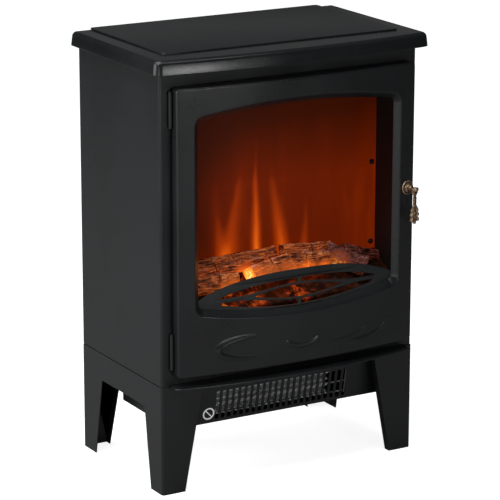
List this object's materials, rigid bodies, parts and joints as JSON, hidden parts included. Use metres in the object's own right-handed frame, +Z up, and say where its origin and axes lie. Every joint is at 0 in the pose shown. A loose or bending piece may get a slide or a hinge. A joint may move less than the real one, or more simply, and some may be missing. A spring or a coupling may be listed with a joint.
{
  "type": "electric fireplace",
  "caption": "Freestanding electric stove: black steel cabinet on leg frames, bowed hinged door with a grate, lit log bed, flame screen and a fan heater below.",
  "frame": {"origin": "centre of the stove's footprint box on the floor", "axes": "+X to the stove's left-to-right as seen from the front, -Y out of its front, +Z up"},
  "size_m": [0.4266, 0.278, 0.6049],
  "materials": {
    "paint_black": "satin powder coat",
    "cast_black": "matte black paint on a casting",
    "bronze": "antique bronze, worn",
    "steel": "plain",
    "plastic_black": "moulded",
    "rubber": "plain",
    "resin_log": "painted resin bark with ash",
    "ember": "translucent, lit from below",
    "flame_screen": "translucent screen, lit from behind",
    "board": "white board with lamps",
    "label": "printed"
  },
  "bodies": {
    "cabinet": {"top_slab": "paint_black", "top_plate": "paint_black", "cabinet_shell": "paint_black", "back_panel": "paint_black", "cord_bushing": "rubber", "hearth_plate": "paint_black", "leg_frame_left": "paint_black", "leg_frame_right": "paint_black", "hinge_lower_cabinet_leaf": "paint_black", "hinge_lower_pin": "steel", "hinge_upper_cabinet_leaf": "paint_black", "hinge_upper_pin": "steel", "door_catch_magnet": "plastic_black", "firebox_left_wall": "paint_black", "firebox_right_wall": "paint_black", "firebox_top": "paint_black", "firebox_floor": "paint_black", "flame_screen": "flame_screen", "screen_screw_lower_left": "plastic_black", "screen_screw_lower_right": "plastic_black", "screen_screw_upper_left": "plastic_black", "screen_screw_upper_right": "plastic_black", "ember_bed": "ember", "led_board": "board", "log_front_left": "resin_log", "log_front_centre": "resin_log", "log_middle_centre": "resin_log", "log_right": "resin_log", "log_back_centre": "resin_log", "log_back_left": "resin_log", "log_middle_left": "resin_log", "log_back_right": "resin_log", "rotor_bracket": "steel", "flame_motor": "steel", "heater_housing": "paint_black", "heater_grille": "paint_black", "guard_wires": "steel", "badge_ring": "label", "box_bumper": "rubber", "fan_motor": "steel", "heating_element": "steel", "thermal_cutout": "plastic_black", "control_panel": "plastic_black", "switch_block": "plastic_black", "thermostat_body": "plastic_black"},
    "door": {"door_shell": "paint_black", "door_grate": "cast_black", "hinge_lower_door_leaf": "paint_black", "hinge_upper_door_leaf": "paint_black", "door_catch_strike": "steel", "handle_rosette": "bronze", "handle_post": "bronze"},
    "pendant": {"handle_pendant": "bronze"},
    "flame_rotor": {"flame_rotor": "steel"},
    "fan": {"fan_impeller": "plastic_black"},
    "power_rocker": {"rocker_power": "plastic_black"},
    "low_heat_rocker": {"rocker_low_heat": "plastic_black"},
    "high_heat_rocker": {"rocker_high_heat": "plastic_black"},
    "thermostat": {"thermostat_knob": "plastic_black"}
  },
  "joints": [
    {"name": "door_hinge", "type": "hinge", "parent": "cabinet", "child": "door", "pos_m": [-0.186, -0.1025, 0.366], "axis": [0, 0, -1], "range_deg": [0, 110]},
    {"name": "handle_swing", "type": "hinge", "parent": "door", "child": "pendant", "pos_m": [0.17945, -0.13309, 0.389], "axis": [-0.9888, -0.1492, 0], "range_deg": [0, 80]},
    {"name": "flame_rotor_spin", "type": "hinge", "parent": "cabinet", "child": "flame_rotor", "pos_m": [0, 0.026, 0.266], "axis": [1, 0, 0], "continuous": true},
    {"name": "fan_spin", "type": "hinge", "parent": "cabinet", "child": "fan", "pos_m": [0, 0.006, 0.116], "axis": [1, 0, 0], "continuous": true},
    {"name": "power_rocker_tilt", "type": "hinge", "parent": "cabinet", "child": "power_rocker", "pos_m": [0.044, -0.0966, 0.204], "axis": [-1, 0, 0], "range_deg": [0, 16]},
    {"name": "low_heat_rocker_tilt", "type": "hinge", "parent": "cabinet", "child": "low_heat_rocker", "pos_m": [0.068, -0.0966, 0.204], "axis": [-1, 0, 0], "range_deg": [0, 16]},
    {"name": "high_heat_rocker_tilt", "type": "hinge", "parent": "cabinet", "child": "high_heat_rocker", "pos_m": [0.092, -0.0966, 0.204], "axis": [-1, 0, 0], "range_deg": [0, 16]},
    {"name": "thermostat_turn", "type": "hinge", "parent": "cabinet", "child": "thermostat", "pos_m": [0.13, -0.1, 0.204], "axis": [0, -1, 0], "range_deg": [0, 270]}
  ]
}
